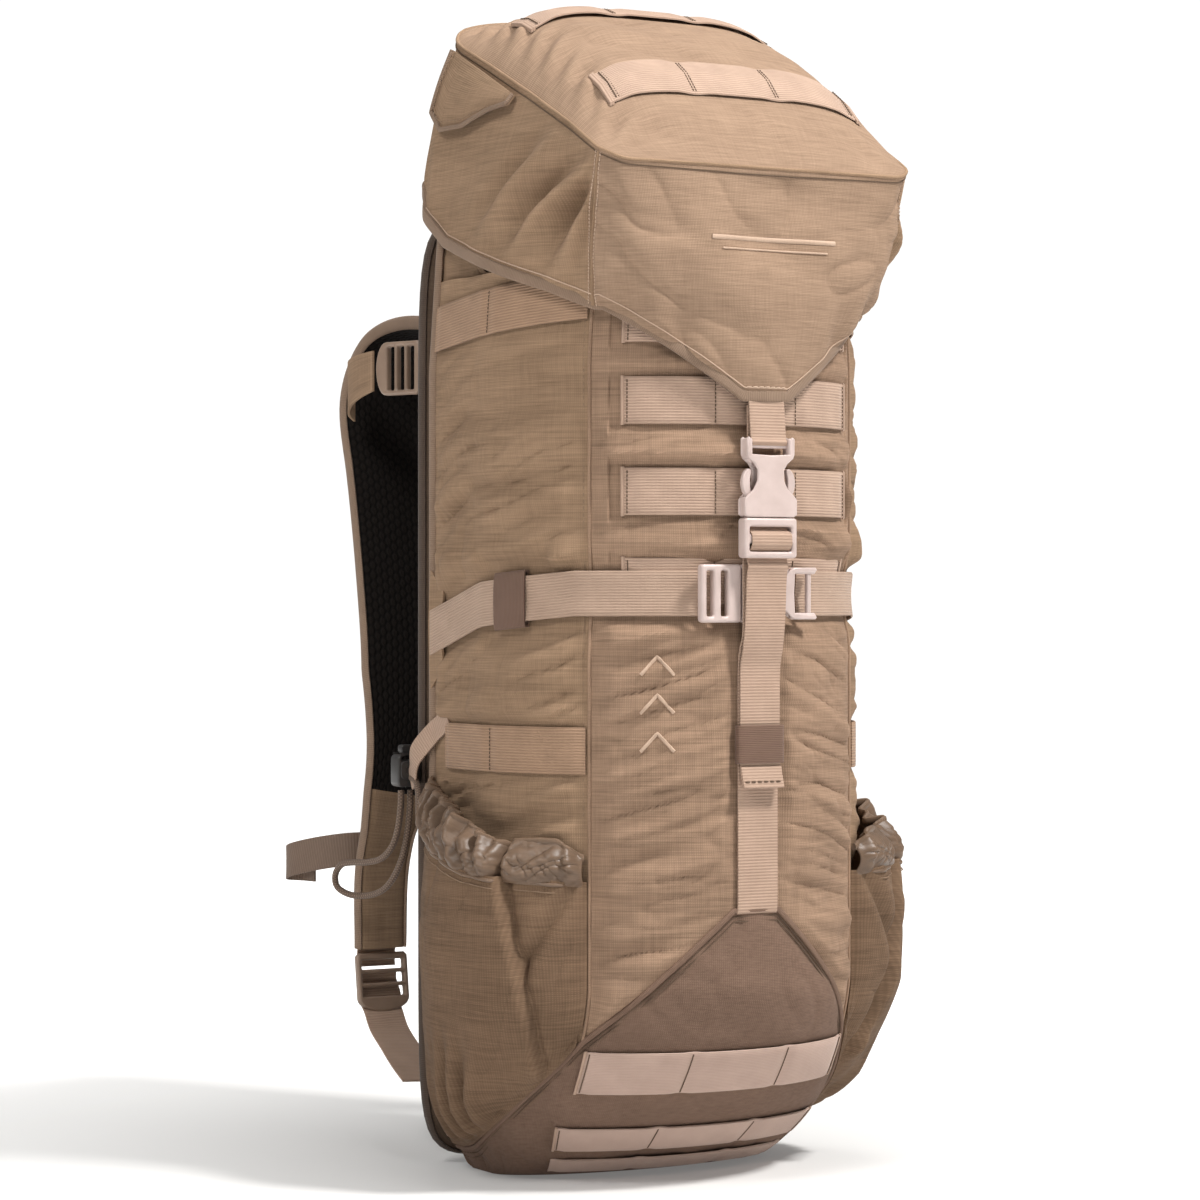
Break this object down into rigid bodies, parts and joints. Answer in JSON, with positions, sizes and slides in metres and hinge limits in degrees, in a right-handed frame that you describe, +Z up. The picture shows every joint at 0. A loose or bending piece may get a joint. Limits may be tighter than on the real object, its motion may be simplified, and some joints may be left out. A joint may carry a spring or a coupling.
{
  "type": "hunting backpack",
  "caption": "Tall top-loading field backpack: hooded lid, side pockets, rows of load webbing, cinch strap, shoulder straps and release buckles.",
  "frame": {"origin": "centre of the bounding box in plan, on the surface the pack stands on", "axes": "+Z up along the pack, -Y the way the front buckle faces, +Y towards the wearer, +X to the right as seen from the front"},
  "size_m": [0.3052, 0.3567, 0.6708],
  "materials": {
    "tan_cloth": "matte coated ripstop weave",
    "lining": "matte plain weave",
    "webbing": "ribbed webbing with a slight sheen",
    "elastic": "matte knitted elastic",
    "buckle_plastic": "satin moulded",
    "dark_plastic": "satin moulded",
    "spacer_mesh": "open knitted mesh",
    "alloy": "satin",
    "cord": "braided sheath"
  },
  "bodies": {
    "pack": {"back_pad": "tan_cloth", "base_panel": "tan_cloth", "boot_panel": "tan_cloth", "boot_webbing_lower": "webbing", "boot_webbing_upper": "webbing", "cinch_socket": "buckle_plastic", "cinch_strap_left": "webbing", "cinch_strap_right": "webbing", "cord_lock_body": "dark_plastic", "drawcord_loop": "cord", "drawcord_stem": "cord", "frame_sheet": "dark_plastic", "front_panel": "tan_cloth", "front_strap": "webbing", "haul_loop": "webbing", "lifter_webbing_left": "webbing", "lifter_webbing_right": "webbing", "lower_webbing_left": "webbing", "lower_webbing_right": "webbing", "lumbar_mesh_pad": "spacer_mesh", "rear_panel": "tan_cloth", "shoulder_mesh_pad": "spacer_mesh", "side_panel_left": "tan_cloth", "side_panel_right": "tan_cloth", "side_pocket_left": "tan_cloth", "side_pocket_right": "tan_cloth", "side_webbing_lower_left": "webbing", "side_webbing_lower_right": "webbing", "side_webbing_upper_left": "webbing", "side_webbing_upper_right": "webbing", "snow_collar": "lining", "stay_left": "alloy", "stay_right": "alloy", "webbing_row_lower": "webbing", "webbing_row_middle": "webbing", "webbing_row_top": "webbing", "webbing_row_upper": "webbing"},
    "lid": {"lid_shell": "tan_cloth", "lid_floor": "lining", "lid_webbing_front": "webbing", "lid_webbing_rear": "webbing", "zip_storm_flap": "tan_cloth", "lid_zip": "dark_plastic", "lid_strap": "webbing", "buckle_socket": "buckle_plastic"},
    "zip_pull": {"zip_slider": "alloy"},
    "strap_end": {"buckle_tongue": "buckle_plastic", "strap_tail": "webbing"},
    "tail_keeper": {"strap_keeper": "elastic"},
    "cinch_end": {"cinch_tongue": "buckle_plastic"},
    "cinch_loop": {"cinch_keeper": "elastic"},
    "shoulder_left": {"shoulder_strap_left": "tan_cloth"},
    "shoulder_right": {"shoulder_strap_right": "tan_cloth"},
    "adjuster_left": {"strap_adjuster_left": "buckle_plastic"},
    "adjuster_right": {"strap_adjuster_right": "buckle_plastic"},
    "lifter_left": {"lifter_buckle_left": "buckle_plastic"},
    "lifter_right": {"lifter_buckle_right": "buckle_plastic"},
    "sternum_left": {"sternum_webbing_left": "webbing"},
    "sternum_right": {"sternum_webbing_right": "webbing"},
    "cord_button": {"cord_lock_button": "dark_plastic"}
  },
  "joints": [
    {"name": "lid_hinge", "type": "hinge", "parent": "pack", "child": "lid", "pos_m": [0, 0.0168, 0.562], "axis": [-1, 0, 0], "range_deg": [0, 90]},
    {"name": "zip_run", "type": "slide", "parent": "lid", "child": "zip_pull", "axis": [1, 0, 0], "range_m": [0, 0.15]},
    {"name": "buckle_release", "type": "slide", "parent": "pack", "child": "strap_end", "axis": [0, 0, -1], "range_m": [0, 0.028]},
    {"name": "keeper_slide", "type": "slide", "parent": "pack", "child": "tail_keeper", "axis": [0, 0, -1], "range_m": [-0.024, 0]},
    {"name": "cinch_release", "type": "slide", "parent": "pack", "child": "cinch_end", "axis": [-1, 0, 0], "range_m": [0, 0.028]},
    {"name": "cinch_keeper_slide", "type": "slide", "parent": "pack", "child": "cinch_loop", "axis": [-0.3002, 0.9495, -0.0915], "range_m": [-0.004, 0.004]},
    {"name": "shoulder_swing_left", "type": "hinge", "parent": "pack", "child": "shoulder_left", "pos_m": [-0.045, 0.0468, 0.47], "axis": [1, 0, 0], "range_deg": [-2, 14]},
    {"name": "adjuster_tilt_left", "type": "hinge", "parent": "shoulder_left", "child": "adjuster_left", "pos_m": [-0.091, 0.1208, 0.115], "axis": [1, 0, 0], "range_deg": [0, 25]},
    {"name": "lifter_tilt_left", "type": "hinge", "parent": "shoulder_left", "child": "lifter_left", "pos_m": [-0.106, 0.0943, 0.467], "axis": [0, 0, -1], "range_deg": [-10, 15]},
    {"name": "sternum_slide_left", "type": "slide", "parent": "shoulder_left", "child": "sternum_left", "axis": [0, -0.2, 0.9798], "range_m": [-0.012, 0.015]},
    {"name": "shoulder_swing_right", "type": "hinge", "parent": "pack", "child": "shoulder_right", "pos_m": [0.045, 0.0468, 0.47], "axis": [1, 0, 0], "range_deg": [-2, 14]},
    {"name": "adjuster_tilt_right", "type": "hinge", "parent": "shoulder_right", "child": "adjuster_right", "pos_m": [0.091, 0.1208, 0.115], "axis": [1, 0, 0], "range_deg": [0, 25]},
    {"name": "lifter_tilt_right", "type": "hinge", "parent": "shoulder_right", "child": "lifter_right", "pos_m": [0.106, 0.0943, 0.467], "axis": [0, 0, 1], "range_deg": [-10, 15]},
    {"name": "sternum_slide_right", "type": "slide", "parent": "shoulder_right", "child": "sternum_right", "axis": [0, -0.2, 0.9798], "range_m": [-0.012, 0.015]},
    {"name": "cord_lock_press", "type": "slide", "parent": "pack", "child": "cord_button", "axis": [0, 0, -1], "range_m": [0, 0.003], "stiffness_N_per_m": 300}
  ]
}
